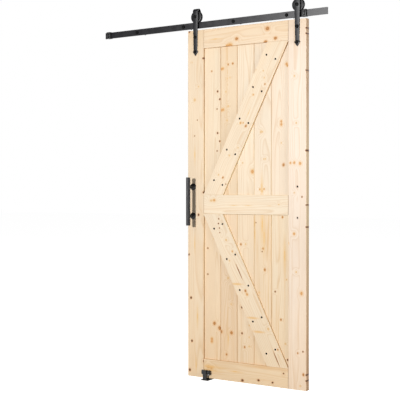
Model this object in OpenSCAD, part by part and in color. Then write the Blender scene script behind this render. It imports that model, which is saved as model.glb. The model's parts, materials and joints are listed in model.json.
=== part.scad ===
// Sliding barn door with its face-fixed flat rail, strap hangers, end stops and floor guide.
// +X runs along the rail to the right, -Y is the front and +Z is up.
// The origin is on the floor, at the centre of the floor guide. All sizes are in millimetres.

/* [Door] */
// Width of the door
door_w = 813; // [650:1:1100]
// Height of the door
door_h = 2134; // [1750:1:2600]
// Thickness of the stiles and rails
door_t = 35; // [30:1:45]
// Face width of the stiles and rails
frame_w = 116; // [95:1:140]
// Thickness of the infill boards
board_t = 15; // [12:1:20]
// Height of the middle rail's centre above the door's bottom edge
mid_rail_h = 1063; // [850:1:1250]
// Gap between the floor and the door
floor_gap = 10; // [8:1:20]
// Distance from the door's left edge to the floor guide with the door closed
guide_from_edge = 140; // [110:1:220]
// Length of door that stays past the guide's centre with the door open
guide_hold = 25; // [20:1:120]

/* [Joinery] */
// Depth of the groove in the frame, and of what fits into it
groove_d = 12; // [8:0.5:16]
// Room left at the bottom of each groove for the wood to move
groove_room = 1; // [0.5:0.1:3]
// Depth of the tongue on a board's edge
tongue_d = 8; // [5:0.5:10]
// Thickness of the tongue on a board's edge
tongue_t = 5; // [3:0.5:6]
// Size of the chamfer along the face edges of a board
board_v = 3; // [1:0.5:4]
// Size of the eased edge on the frame and the braces
arris = 1.5; // [0.5:0.5:3]

/* [Braces] */
// Width of a brace
brace_w = 127; // [90:1:150]
// Distance from the left stile to a brace's right edge, along the middle rail
brace_foot = 138; // [110:1:200]
// Height above the middle rail of the first pair of screws
brace_screw_low = 75; // [60:1:120]
// Distance from the top or bottom rail to the last pair of screws
brace_screw_high = 88; // [60:1:120]
// Distance between the two screws of a pair
brace_screw_pitch = 66; // [50:1:80]
// Radius of a brace screw's head
brace_head_r = 6; // [5:0.5:8]
// Height of a brace screw's head
brace_head_h = 2.5; // [1.5:0.5:4]
// Radius of a brace screw's shank
brace_screw_r = 2; // [1.5:0.25:3]
// Distance that the tip of a brace screw stops short of the boards' back face
brace_screw_short = 3; // [1:0.5:8]

/* [Rail] */
// Height of the rail's flat bar
rail_h = 40; // [35:1:50]
// Thickness of the rail's flat bar
rail_t = 6; // [5:0.5:8]
// Gap between the door's top edge and the rail
rail_gap = 12; // [8:1:20]
// Length of rail beyond the right end stop
rail_past_right = 130.5; // [10:0.5:300]
// Length of rail beyond the left end stop
rail_past_left = 15.5; // [5:0.5:300]
// Distance from each end of the rail to its nearest bolt
rail_bolt_end = 260; // [100:1:300]
// Distance from the door's back face to the wall
wall_gap = 15; // [13:1:60]
// Radius of the rail's bolts
lag_r = 5; // [4:0.5:6]
// Length of bolt that goes into the wall
lag_in_wall = 60; // [40:5:100]
// How much smaller the radius of a rail bolt's thread is than its shank's
lag_thread_cut = 0.6; // [0.3:0.1:1]
// Height of a rail bolt's head
lag_head_h = 5.5; // [4:0.5:6]
// Radius of the rail's wall spacers
spacer_r = 12.5; // [9:0.5:13]

/* [Hangers] */
// Distance from each door edge to the middle of its hanger
hanger_from_edge = 57; // [45:1:70]
// Thickness of the strap
strap_t = 5; // [4:0.5:6]
// Gap between the two legs of the strap
strap_gap = 28; // [26:0.5:34]
// Width of the strap at the axle
strap_w = 36; // [30:1:44]
// Width of the strap where it meets the arrowhead
neck_w = 25; // [20:1:30]
// Width of the arrowhead
arrow_w = 38; // [32:1:50]
// Length from the arrowhead's barbs to its tip
arrow_l = 26; // [18:1:40]
// Distance from the door's top edge down to the arrowhead's barbs
arrow_drop = 131; // [120:1:250]
// Gap between the top of the wheel and the strap's bend
wheel_top_gap = 3.8; // [2:0.1:10]
// Gap between the rail's top edge and the rear leg's lower end
rear_leg_gap = 12; // [5:1:20]
// Distance from the door's top edge to the upper door bolt
bolt_1_drop = 42; // [30:1:58]
// Distance from the arrowhead's barbs down to the lower door bolt
bolt_below_barbs = 1; // [0:0.5:3]
// Radius of the door bolts
bolt_r = 5; // [4:0.5:5]

/* [Wheels] */
// Outer radius of a wheel
wheel_r = 38; // [31:0.5:46]
// Width of a wheel
wheel_w = 20; // [16:0.5:24]
// Depth of the groove that the rail sits in
wheel_groove_d = 6; // [4:0.5:7.5]
// Radius of a wheel's axle
axle_r = 6; // [5:0.5:7]
// Outer radius of a wheel's bearing
bearing_r = 16; // [13:0.5:19.5]
// Width of a wheel's bearing
bearing_w = 12; // [8:0.5:14]

/* [End stops] */
// Length of an end stop's block
stop_l = 27; // [20:1:50]
// Gap between an end stop and the legs of a hanger, front and back
stop_side_gap = 1; // [0.5:0.5:4]
// Height of an end stop above the rail's top edge
stop_above = 2; // [1:0.5:8]
// Length of an end stop below the rail's bottom edge
stop_below = 0; // [0:0.5:6]
// Thickness of the bumper on an end stop
bumper_t = 4; // [3:0.5:8]

/* [Handle] */
// Radius of the pull handle's bar
bar_r = 13; // [10:0.5:16]
// Wall thickness of the bar
bar_wall = 2; // [1.5:0.5:3]
// Length of the bar
bar_l = 295; // [240:5:400]
// Distance from the door's face to the middle of the bar
bar_out = 55; // [50:1:80]
// Distance between the two posts
post_pitch = 180; // [120:1:200]
// Radius of a post
post_r = 8; // [7:0.5:10]
// Height of the lower handle hole above the door's bottom edge
handle_h = 990; // [850:5:1100]
// Distance from the door's left edge to the handle
handle_from_edge = 38; // [36:1:60]
// Distance from the door's right edge to the spare handle holes
spare_from_edge = 57; // [40:1:60]
// Radius of a rosette
rosette_r = 21; // [15:0.5:22]
// Height of a rosette's dome
rosette_h = 12; // [4:0.5:14]

/* [Floor guide] */
// Length of the base plate along the rail
base_l = 50; // [50:1:90]
// Length of base plate beyond each bracket's post
base_past_post = 3; // [3:1:30]
// Thickness of the base plate and of the brackets
guide_t = 4; // [3:0.5:5]
// Radius of a guide roller
roller_r = 12; // [10:0.5:15]
// Height of a guide roller
roller_h = 20; // [20:1:40]
// Height of the rollers' lower end above the floor
roller_z = 36; // [22:1:45]
// Width of a bracket's post
carrier_w = 24; // [14:1:24]
// Radius of a roller's pin
pin_r = 4; // [3:0.5:5]

/* [Clearances] */
// Radial clearance of a bolt or screw in its hole
bolt_clear = 0.4; // [0.2:0.05:0.8]
// Radial clearance of a screw in the hole that holds it
thread_clear = 0.05; // [0.02:0.01:0.1]
// Radial clearance of a wheel or roller on its axle
run_clear = 0.04; // [0.02:0.01:0.08]
// Gap on each side between the rail and a wheel's groove
groove_clear = 1; // [0.5:0.1:2]
// Gap between the rail's top edge and the bottom of a wheel's groove
tread_clear = 0.2; // [0.1:0.05:0.4]
// Play along an axle or a pin
end_play = 0.3; // [0.2:0.05:0.6]
// Gap between a wheel and the stop it runs against
stop_clear = 0.3; // [0.2:0.1:2]
// Gap between a guide roller and the door
roller_clear = 0.75; // [0.5:0.05:2]
// Gap between an end stop and the rail inside it
stop_fit = 0.1; // [0.05:0.05:0.3]

/* [Hidden] */
$fn = 48;
board_n = 5;        // boards side by side in each opening
brace_pairs = 5;    // pairs of screws along a brace
rail_bolt_n = 4;    // bolts that hold the rail to the wall
eps = 1;            // how far a cutting shape runs past the face that it cuts
tip_room = 1;       // depth of a screw's hole beyond its tip

// door
door_x = -guide_from_edge;                       // the door's left edge
door_right = door_x + door_w;
door_top = floor_gap + door_h;
face_y = -door_t / 2;                            // the door's front face
open_w = door_w - 2 * frame_w;                   // width of each opening
mid_low = mid_rail_h - frame_w / 2;              // underside of the middle rail, from the door's bottom
mid_high = mid_rail_h + frame_w / 2;
low_open_h = mid_low - frame_w;                  // height of the lower opening
high_open_h = door_h - frame_w - mid_high;       // height of the upper opening
board_p = open_w / board_n;
board_fit = groove_d - groove_room;              // how far a board goes into the frame's groove
brace_t = (door_t - board_t) / 2;
brace_screw_l = brace_t + board_t - brace_screw_short;
left_hanger_x = door_x + hanger_from_edge;
right_hanger_x = door_right - hanger_from_edge;
travel = door_w - guide_from_edge - guide_hold;  // how far the door slides open

// rail and wheels
rail_low = door_top + rail_gap;
rail_top = rail_low + rail_h;
rail_mid = (rail_low + rail_top) / 2;
track_y = face_y + strap_gap / 2;                // middle of the wheels and of the rail
rail_front = track_y - rail_t / 2;
rail_back = track_y + rail_t / 2;
wall_y = door_t / 2 + wall_gap;
rail_edge = 0.8;                                 // chamfer on the rail's long edges
lag_washer_r = 11;
lag_seat = rail_front - 1.5;                     // underside of a rail bolt's head
tread_r = wheel_r - wheel_groove_d;
axle_z = rail_top + tread_clear + tread_r;
bend_r = strap_gap / 2;
bend_z = axle_z + wheel_r + wheel_top_gap - sqrt(pow(bend_r, 2) - pow(wheel_w / 2, 2));
strap_front = face_y - strap_t;
bolt_2_drop = arrow_drop + bolt_below_barbs;
strap_rear = face_y + strap_gap + strap_t;
washer_t = 2;
bolt_seat = strap_front - washer_t;              // underside of a door bolt's head
nut_seat = -face_y + washer_t;
nut_h = 8;
bolt_head_h = 6.5;
bolt_flats_r = 9.8;                              // corner radius of a 17 mm hexagon
axle_flats_r = 11;                               // corner radius of a 19 mm hexagon
axle_nut_h = 7;
bearing_lip = 3;                                 // lip that holds the bearing at the front
hub_wall = 3;                                    // rim around the bearing
wheel_dish = 2;                                  // depth of the dish in a wheel's faces
wheel_edge = 1.5;                                // chamfer on a wheel's outer edges
groove_edge = 1;                                 // chamfer at the mouth of a wheel's groove
spacer_wall = 3;                                 // wall of the spacers beside a bearing
bolt_end = 1;                                    // length of bolt that shows past its nut

// end stops
stop_top = rail_top + stop_above;
stop_low = rail_low - stop_below;
stop_w = strap_gap - 2 * stop_side_gap;
stop_front = track_y - stop_w / 2;
wheel_reach = sqrt(pow(wheel_r, 2) - pow(axle_z - stop_top, 2));
right_stop_x = right_hanger_x + wheel_reach + stop_clear;
left_stop_x = left_hanger_x - travel - wheel_reach - stop_clear;
right_block_x = right_stop_x + bumper_t;
left_block_x = left_stop_x - bumper_t - stop_l;
rail_x1 = right_block_x + stop_l + rail_past_right;
rail_x0 = left_block_x - rail_past_left;
rail_bolt_p = (rail_x1 - rail_x0 - 2 * rail_bolt_end) / (rail_bolt_n - 1);
lag_thread_r = lag_r - lag_thread_cut;
set_r = 3;
set_key_r = 1.73;                                // corner radius of a 3 mm hexagon key
set_key_d = 4;
set_pitch = 20;

// handle
handle_x = door_x + handle_from_edge;
post_z = floor_gap + handle_h;
bar_y = face_y - bar_out;
bar_z = post_z + post_pitch / 2;
cap_t = 3;
cap_plug = 8;
spigot_r = 5;
spigot_l = 5;
handle_screw_r = 4;
handle_screw_in = 24;
handle_head_r = 8;
handle_head_h = 4;

// floor guide
roller_gap = 7;                                  // from a roller's side to the middle of its pair
roller_x = roller_r + roller_gap;
roller_y = door_t / 2 + roller_clear + roller_r;
roller_edge = 2;                                 // chamfer on a roller's ends
arm_z = roller_z + roller_h + end_play;          // underside of a bracket's arm
pin_head_r = 6.5;
pin_head_h = 3;
pin_dome_h = 2.5;
pin_z = roller_z - end_play - pin_head_h;        // lower end of a roller's pin
post_y = roller_y + roller_r + roller_clear;     // inner face of a bracket's post
arm_inset = 1.5;                                 // how far a bracket's arm stays inside its rollers' edge
arm_end_r = roller_r - arm_inset;
arm_bar_w = 17;                                  // width of a bracket's arm between its round ends
foot_past_roller = 9;
foot_in = roller_y - foot_past_roller;           // inner end of a bracket's foot
clamp_r = 2.5;
clamp_head_r = 5;
clamp_head_h = 3.5;
slot_run = 8;                                    // how far a bracket can be moved on the base
base_w = 2 * (post_y + guide_t + base_past_post);
floor_hole_r = 2.75;
floor_sink_r = 5.5;
floor_hole_in_x = 7;                             // from the base's edges to its floor screws
floor_hole_in_y = 14;
floor_hole_x = base_l / 2 - floor_hole_in_x;
floor_hole_y = base_w / 2 - floor_hole_in_y;

wood = [0.93, 0.84, 0.70];
pale_wood = [0.95, 0.88, 0.76];
black = [0.10, 0.10, 0.11];
dark_grey = [0.22, 0.22, 0.24];
steel = [0.55, 0.56, 0.58];
rubber = [0.06, 0.06, 0.06];

// ---- shapes that repeat ----

// a cylinder along Y, from y0 to y1, about the point x, z
module rod_y(x, z, y0, y1, r) translate([x, y1, z]) rotate([90, 0, 0]) cylinder(r = r, h = y1 - y0);

// a hexagonal prism along Y
module hex_y(x, z, y0, y1, corner_r)
    translate([x, y1, z]) rotate([90, 0, 0]) cylinder(r = corner_r, h = y1 - y0, $fn = 6);

// a washer or spacer along Y
module ring_y(x, z, y0, y1, r_out, r_in) difference() {
    rod_y(x, z, y0, y1, r_out);
    rod_y(x, z, y0 - eps, y1 + eps, r_in);
}

// a part of a sphere with a flat base of radius r and a height h, standing on z = 0
module dome(r, h) {
    ball_r = (r * r + h * h) / (2 * h);
    intersection() {
        translate([0, 0, h - ball_r]) sphere(r = ball_r);
        cylinder(r = r + eps, h = h + eps);
    }
}

// a rectangle from 0 to w and across the middle of t, with its four corners cut by c
module eased_rect(w, t, c) polygon([
    [c, -t / 2], [w - c, -t / 2], [w, -t / 2 + c], [w, t / 2 - c],
    [w - c, t / 2], [c, t / 2], [0, t / 2 - c], [0, -t / 2 + c]
]);

// puts what follows in the door's own frame: left edge at x = 0, bottom edge at z = 0
module on_door() translate([door_x, 0, floor_gap]) children();

module at_hangers() for (x = [left_hanger_x, right_hanger_x]) translate([x, 0, 0]) children();

// ---- door frame ----

module stile_blank() linear_extrude(height = door_h) difference() {
    eased_rect(frame_w, door_t, arris);
    translate([frame_w - groove_d, -board_t / 2]) square([groove_d + eps, board_t]);
}

module handle_holes(x) for (z = [handle_h, handle_h + post_pitch])
    rod_y(x, z, face_y - eps, -face_y + eps, handle_screw_r + bolt_clear);

module hanger_holes(x) for (drop = [bolt_1_drop, bolt_2_drop])
    rod_y(x, door_h - drop, face_y - eps, -face_y + eps, bolt_r + bolt_clear);

module left_stile() color(wood) on_door() difference() {
    stile_blank();
    hanger_holes(hanger_from_edge);
    handle_holes(handle_from_edge);
}

module right_stile() color(pale_wood) on_door() difference() {
    translate([door_w, 0, 0]) mirror([1, 0, 0]) stile_blank();
    hanger_holes(door_w - hanger_from_edge);
    handle_holes(door_w - spare_from_edge);
}

// a cross rail with its lower edge at z, grooved for the boards below it and above it
module cross_rail(z, groove_below, groove_above) {
    tenon = groove_d - groove_room;
    translate([0, 0, z]) difference() {
        union() {
            translate([frame_w, 0, 0]) rotate([90, 0, 90])
                linear_extrude(height = open_w) rotate(90) eased_rect(frame_w, door_t, arris);
            translate([frame_w - tenon, -board_t / 2, 0]) cube([open_w + 2 * tenon, board_t, frame_w]);
        }
        if (groove_below) rail_groove(-eps);
        if (groove_above) rail_groove(frame_w - groove_d);
    }
}

module rail_groove(z) translate([0, -board_t / 2, z]) cube([door_w, board_t, groove_d + eps]);

module top_rail() color(pale_wood) on_door() cross_rail(door_h - frame_w, true, false);
module middle_rail() color(pale_wood) on_door() cross_rail(mid_low, true, true);
module bottom_rail() color(wood) on_door() cross_rail(0, false, true);

// ---- infill boards ----

// section of board i: tongue on its right edge, groove in its left edge, and a chamfer at each
// joint; the first and the last board run into the stiles' grooves instead
module board_section(i) {
    left_end = i == 1 ? -board_fit : 0;
    right_end = i == board_n ? board_p + board_fit : board_p;
    left_v = i == 1 ? 0 : board_v;
    right_v = i == board_n ? 0 : board_v;
    half = board_t / 2;
    difference() {
        union() {
            polygon([
                [left_end + left_v, -half], [right_end - right_v, -half],
                [right_end, -half + right_v], [right_end, half - right_v],
                [right_end - right_v, half], [left_end + left_v, half],
                [left_end, half - left_v], [left_end, -half + left_v]
            ]);
            if (i < board_n) translate([board_p - eps, -tongue_t / 2])
                square([tongue_d + eps, tongue_t]);
        }
        if (i > 1) translate([-eps, -tongue_t / 2]) square([tongue_d + groove_room + eps, tongue_t]);
    }
}

module board(i, z0, open_h) on_door() difference() {
    translate([frame_w + (i - 1) * board_p, 0, z0 - board_fit])
        linear_extrude(height = open_h + 2 * board_fit) board_section(i);
    brace_screw_shanks(brace_screw_r + thread_clear, 0, brace_screw_l + tip_room);
}

module upper_board(i) color(pale_wood) board(i, mid_high, high_open_h);
module lower_board(i) color(wood) board(i, frame_w, low_open_h);

// ---- braces ----

function lean(open_h) = atan((open_w - brace_foot) / open_h);

// distance along a brace of the point on its middle line at height h above the middle rail
function along(h, open_h) = (h - brace_w / 2 * sin(lean(open_h))) / cos(lean(open_h));

// puts what follows on a brace: x = 0 is its right edge, z runs up along it from the middle rail
module on_brace(open_h) translate([brace_foot, 0, 0]) rotate([0, lean(open_h), 0]) children();

module on_upper() translate([frame_w, 0, mid_high]) children();
module on_lower() translate([frame_w, 0, mid_low]) mirror([0, 0, 1]) children();

module brace(open_h) intersection() {
    translate([0, face_y, 0]) cube([open_w, brace_t, open_h]);
    on_brace(open_h) translate([-brace_w, 0, -open_h]) linear_extrude(height = 3 * open_h)
        eased_rect(brace_w, door_t, arris);
}

// places one screw at each screw position of a brace
module at_brace_screws(open_h) {
    low = along(brace_screw_low, open_h);
    high = along(open_h - brace_screw_high, open_h);
    on_brace(open_h) for (k = [0 : brace_pairs - 1], side = [-1, 1])
        translate([-brace_w / 2 + side * brace_screw_pitch / 2, face_y,
                   low + (high - low) * k / (brace_pairs - 1)]) children();
}

module at_all_brace_screws() {
    on_upper() at_brace_screws(high_open_h) children();
    on_lower() at_brace_screws(low_open_h) children();
}

// cylinders from one depth behind the door's face to another
module brace_screw_shanks(r, from, to) at_all_brace_screws()
    rotate([-90, 0, 0]) translate([0, 0, from]) cylinder(r = r, h = to - from);

module brace_screw_holes() brace_screw_shanks(brace_screw_r + bolt_clear / 2, -eps, brace_t + eps);

module upper_brace() color(pale_wood) on_door() difference() {
    on_upper() brace(high_open_h);
    brace_screw_holes();
}

module lower_brace() color(pale_wood) on_door() difference() {
    on_lower() brace(low_open_h);
    brace_screw_holes();
}

module brace_screws() color(black) on_door() {
    at_all_brace_screws() rotate([90, 0, 0]) dome(brace_head_r, brace_head_h);
    brace_screw_shanks(brace_screw_r, 0, brace_screw_l);
}

// ---- hangers ----

// front outline of the strap, about x = 0
module strap_outline() {
    barb_z = door_top - arrow_drop;
    neck_z = barb_z + (arrow_w - neck_w) / 2;
    polygon([
        [-strap_w / 2, bend_z + strap_gap], [-strap_w / 2, axle_z],
        [-neck_w / 2, neck_z], [-arrow_w / 2, barb_z], [0, barb_z - arrow_l],
        [arrow_w / 2, barb_z], [neck_w / 2, neck_z],
        [strap_w / 2, axle_z], [strap_w / 2, bend_z + strap_gap]
    ]);
}

// side view of the bent strap, in Y and Z
module strap_side() {
    leg_low = door_top - arrow_drop - arrow_l - eps;
    difference() {
        union() {
            translate([track_y, bend_z]) circle(r = strap_gap / 2 + strap_t);
            translate([strap_front, leg_low]) square([strap_t, bend_z - leg_low]);
            translate([strap_rear - strap_t, rail_top + rear_leg_gap])
                square([strap_t, bend_z - rail_top - rear_leg_gap]);
        }
        translate([track_y, bend_z]) circle(r = strap_gap / 2);
        translate([track_y - strap_gap / 2, leg_low - eps]) square([strap_gap, bend_z - leg_low + eps]);
        translate([track_y + strap_gap / 2 - eps, leg_low - eps])
            square([strap_t + 2 * eps, rail_top + rear_leg_gap - leg_low + eps]);
    }
}

module hanger_strap() difference() {
    intersection() {
        translate([0, strap_rear + eps, 0]) rotate([90, 0, 0])
            linear_extrude(height = strap_rear - strap_front + 2 * eps) strap_outline();
        translate([-arrow_w, 0, 0]) rotate([90, 0, 90])
            linear_extrude(height = 2 * arrow_w) strap_side();
    }
    rod_y(0, axle_z, strap_front - eps, strap_rear + eps, axle_r + bolt_clear / 2);
    for (drop = [bolt_1_drop, bolt_2_drop])
        rod_y(0, door_top - drop, strap_front - eps, face_y + eps, bolt_r + bolt_clear);
}

module left_hanger_strap() color(dark_grey) translate([left_hanger_x, 0, 0]) hanger_strap();
module right_hanger_strap() color(dark_grey) translate([right_hanger_x, 0, 0]) hanger_strap();

// bolts from the strap's front, with a washer at each end and a nut behind the door
module at_hanger_bolts() at_hangers() for (drop = [bolt_1_drop, bolt_2_drop])
    translate([0, 0, door_top - drop]) children();

module hanger_bolts() color(black) at_hanger_bolts() {
    hex_y(0, 0, bolt_seat - bolt_head_h, bolt_seat, bolt_flats_r);
    rod_y(0, 0, bolt_seat - eps, nut_seat + nut_h + bolt_end, bolt_r);
}

module hanger_washers() color(black) at_hanger_bolts() for (y = [bolt_seat, -face_y])
    ring_y(0, 0, y, y + washer_t, 2 * bolt_r, bolt_r + bolt_clear);

module hanger_nuts() color(black) at_hanger_bolts() difference() {
    hex_y(0, 0, nut_seat, nut_seat + nut_h, bolt_flats_r);
    rod_y(0, 0, nut_seat - eps, nut_seat + nut_h + eps, bolt_r + thread_clear);
}

// ---- wheels ----

// half section of a wheel: x is the radius, y runs along the axle towards the front
module wheel_section() {
    half = wheel_w / 2;
    groove = rail_t / 2 + groove_clear;
    lip = bearing_r - bearing_lip;
    hub = bearing_r + hub_wall;
    dish = half - wheel_dish;
    rim = tread_r - wheel_dish;
    edge = half - wheel_edge;
    mouth = groove + groove_edge;
    polygon([
        [lip, half], [hub, half], [hub + wheel_dish, dish], [rim - wheel_dish, dish],
        [rim, half], [wheel_r - wheel_edge, half], [wheel_r, edge], [wheel_r, mouth],
        [wheel_r - groove_edge, groove], [tread_r, groove],
        [tread_r, -groove], [wheel_r - groove_edge, -groove],
        [wheel_r, -mouth], [wheel_r, -edge], [wheel_r - wheel_edge, -half], [rim, -half],
        [rim - wheel_dish, -dish], [hub + wheel_dish, -dish], [hub, -half],
        [bearing_r, -half], [bearing_r, bearing_w / 2], [lip, bearing_w / 2]
    ]);
}

module wheel(x) color(black) translate([x, track_y, axle_z]) rotate([90, 0, 0])
    rotate_extrude() wheel_section();

module wheel_bearing(x) color(steel) ring_y(x, axle_z, track_y - bearing_w / 2,
    track_y + bearing_w / 2, bearing_r, axle_r + run_clear);

module axle_bolt(x) color(black) {
    hex_y(x, axle_z, strap_front - bolt_head_h, strap_front, axle_flats_r);
    rod_y(x, axle_z, strap_front - eps, strap_rear + axle_nut_h + bolt_end, axle_r);
}

module axle_spacers() color(steel) at_hangers() {
    inner = bearing_w / 2 + end_play;
    outer_r = axle_r + spacer_wall;
    ring_y(0, axle_z, face_y, track_y - inner, outer_r, axle_r + thread_clear);
    ring_y(0, axle_z, track_y + inner, face_y + strap_gap, outer_r, axle_r + thread_clear);
}

module axle_nuts() color(black) at_hangers() difference() {
    hex_y(0, axle_z, strap_rear, strap_rear + axle_nut_h, axle_flats_r);
    rod_y(0, axle_z, strap_rear - eps, strap_rear + axle_nut_h + eps, axle_r + thread_clear);
}

module left_wheel() wheel(left_hanger_x);
module right_wheel() wheel(right_hanger_x);
module left_wheel_bearing() wheel_bearing(left_hanger_x);
module right_wheel_bearing() wheel_bearing(right_hanger_x);
module left_axle_bolt() axle_bolt(left_hanger_x);
module right_axle_bolt() axle_bolt(right_hanger_x);

// ---- pull handle ----

module at_posts() for (z = [post_z, post_z + post_pitch]) translate([handle_x, 0, z]) children();

module handle_bar() color(dark_grey) difference() {
    translate([handle_x, bar_y, bar_z - bar_l / 2 + cap_t]) difference() {
        cylinder(r = bar_r, h = bar_l - 2 * cap_t);
        translate([0, 0, -eps]) cylinder(r = bar_r - bar_wall, h = bar_l);
    }
    at_posts() rod_y(0, 0, bar_y, face_y, spigot_r + thread_clear);
}

module handle_end_caps() color(black) translate([handle_x, bar_y, bar_z]) for (up = [0, 1])
    mirror([0, 0, up]) translate([0, 0, bar_l / 2 - cap_t]) {
        cylinder(r = bar_r, h = cap_t);
        translate([0, 0, -cap_plug]) cylinder(r = bar_r - bar_wall - thread_clear, h = cap_plug + eps);
    }

// a post with a saddle for the bar, a spigot into it and a hole for the screw from behind
module handle_post(z) color(dark_grey) translate([handle_x, 0, z]) difference() {
    union() {
        difference() {
            rod_y(0, 0, bar_y, face_y, post_r);
            translate([0, bar_y, -2 * post_r]) cylinder(r = bar_r, h = 4 * post_r);
        }
        rod_y(0, 0, bar_y + bar_r - bar_wall - spigot_l, face_y - handle_screw_in, spigot_r);
    }
    rod_y(0, 0, face_y - handle_screw_in, face_y + eps, handle_screw_r + thread_clear);
}

module upper_handle_post() handle_post(post_z + post_pitch);
module lower_handle_post() handle_post(post_z);

module handle_rosettes() color(black) at_posts() difference() {
    translate([0, face_y, 0]) rotate([90, 0, 0]) dome(rosette_r, rosette_h);
    rod_y(0, 0, face_y - rosette_h - eps, face_y + eps, post_r + thread_clear);
}

module handle_screws() color(black) at_posts() {
    translate([0, -face_y, 0]) rotate([-90, 0, 0]) dome(handle_head_r, handle_head_h);
    rod_y(0, 0, face_y - handle_screw_in + tip_room, -face_y + eps, handle_screw_r);
}

// ---- rail ----

module at_rail_bolts() for (k = [0 : rail_bolt_n - 1])
    translate([rail_x0 + rail_bolt_end + k * rail_bolt_p, 0, rail_mid]) children();

module track_rail() color(dark_grey) difference() {
    translate([rail_x0, track_y, rail_low]) rotate([90, 0, 90])
        linear_extrude(height = rail_x1 - rail_x0) rotate(90) eased_rect(rail_h, rail_t, rail_edge);
    at_rail_bolts() rod_y(0, 0, rail_front - eps, rail_back + eps, lag_r + bolt_clear);
}

module rail_spacers() color(black) at_rail_bolts()
    ring_y(0, 0, rail_back, wall_y, spacer_r, lag_r + bolt_clear);

module rail_washers() color(black) at_rail_bolts()
    ring_y(0, 0, lag_seat, rail_front, lag_washer_r, lag_r + bolt_clear);

module rail_bolts() color(black) at_rail_bolts() {
    hex_y(0, 0, lag_seat - lag_head_h, lag_seat, bolt_flats_r);
    rod_y(0, 0, lag_seat - eps, wall_y, lag_r);
    rod_y(0, 0, wall_y - eps, wall_y + lag_in_wall - lag_thread_r, lag_thread_r);
    translate([0, wall_y + lag_in_wall - lag_thread_r, 0]) rotate([-90, 0, 0])
        cylinder(r1 = lag_thread_r, r2 = lag_thread_r / 4, h = lag_thread_r);
}

// ---- end stops ----

// section across the rail, in Y and Z, open at the bottom so that it drops over the rail
module stop_section() difference() {
    translate([stop_front, stop_low]) square([stop_w, stop_top - stop_low]);
    translate([rail_front - stop_fit, stop_low - eps])
        square([rail_t + 2 * stop_fit, rail_top + stop_fit - stop_low + eps]);
}

module stop_slice(x, l) translate([x, 0, 0]) rotate([90, 0, 90])
    linear_extrude(height = l) stop_section();

module at_set_screws(x) for (side = [-1, 1])
    translate([x + stop_l / 2, 0, rail_mid + side * set_pitch / 2]) children();

module end_stop(x) color(black) difference() {
    stop_slice(x, stop_l);
    at_set_screws(x) rod_y(0, 0, stop_front - eps, rail_front, set_r + thread_clear);
}

module left_end_stop() end_stop(left_block_x);
module right_end_stop() end_stop(right_block_x);
module left_bumper() color(rubber) stop_slice(left_stop_x - bumper_t, bumper_t);
module right_bumper() color(rubber) stop_slice(right_stop_x, bumper_t);

module set_screw() difference() {
    rod_y(0, 0, stop_front, rail_front, set_r);
    hex_y(0, 0, stop_front - eps, stop_front + set_key_d, set_key_r);
}

module stop_set_screws() color(black) {
    at_set_screws(left_block_x) set_screw();
    at_set_screws(right_block_x) set_screw();
}

// ---- floor guide ----

module guide_base() color(black) difference() {
    translate([-base_l / 2, -base_w / 2, 0]) cube([base_l, base_w, guide_t]);
    for (x = [-1, 1], y = [-1, 1]) translate([x * floor_hole_x, y * floor_hole_y, 0]) {
        translate([0, 0, -eps]) cylinder(r = floor_hole_r, h = guide_t + 2 * eps);
        translate([0, 0, guide_t + floor_hole_r - floor_sink_r])
            cylinder(r1 = floor_hole_r, r2 = floor_sink_r + eps, h = floor_sink_r - floor_hole_r + eps);
    }
    for (y = [-1, 1]) translate([0, y * roller_y, -eps])
        cylinder(r = clamp_r + thread_clear, h = guide_t + 2 * eps);
}

// the front bracket: a slotted foot, a post and an arm over the rollers
module guide_bracket() difference() {
    union() {
        translate([-carrier_w / 2, -post_y - guide_t, guide_t]) {
            cube([carrier_w, post_y + guide_t - foot_in, guide_t]);
            cube([carrier_w, guide_t, arm_z]);
        }
        translate([-carrier_w / 2, -post_y - guide_t, arm_z])
            cube([carrier_w, post_y + guide_t - roller_y, guide_t]);
        for (x = [-roller_x, roller_x]) translate([x, -roller_y, arm_z])
            cylinder(r = arm_end_r, h = guide_t);
        translate([-roller_x, -roller_y - arm_bar_w / 2, arm_z])
            cube([2 * roller_x, arm_bar_w, guide_t]);
    }
    translate([0, -roller_y, 0]) for (side = [-1, 1]) translate([0, side * slot_run / 2, 0])
        cylinder(r = clamp_r + bolt_clear, h = 3 * guide_t);
    translate([-clamp_r - bolt_clear, -roller_y - slot_run / 2, 0])
        cube([2 * (clamp_r + bolt_clear), slot_run, 3 * guide_t]);
    for (x = [-roller_x, roller_x]) translate([x, -roller_y, arm_z - eps])
        cylinder(r = pin_r + thread_clear, h = guide_t + 2 * eps);
}

module front_guide_bracket() color(black) guide_bracket();
module rear_guide_bracket() color(black) mirror([0, 1, 0]) guide_bracket();

module guide_clamp_screws() color(black) for (y = [-1, 1]) translate([0, y * roller_y, 0]) {
    cylinder(r = clamp_r, h = 2 * guide_t + eps);
    translate([0, 0, 2 * guide_t]) cylinder(r = clamp_head_r, h = clamp_head_h);
}

module roller(side_x, side_y) color(black) translate([side_x * roller_x, side_y * roller_y, roller_z])
    rotate_extrude() polygon([
        [pin_r + run_clear, 0], [roller_r - roller_edge, 0],
        [roller_r, roller_edge], [roller_r, roller_h - roller_edge],
        [roller_r - roller_edge, roller_h], [pin_r + run_clear, roller_h]
    ]);

module front_left_roller() roller(-1, -1);
module front_right_roller() roller(1, -1);
module rear_left_roller() roller(-1, 1);
module rear_right_roller() roller(1, 1);

// pins with a flat head under each roller and a round head above the arm
module roller_pins() color(steel) for (x = [-1, 1], y = [-1, 1])
    translate([x * roller_x, y * roller_y, pin_z]) {
        cylinder(r = pin_head_r, h = pin_head_h);
        cylinder(r = pin_r, h = arm_z + guide_t + eps - pin_z);
        translate([0, 0, arm_z + guide_t - pin_z]) dome(pin_head_r, pin_dome_h);
    }

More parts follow.
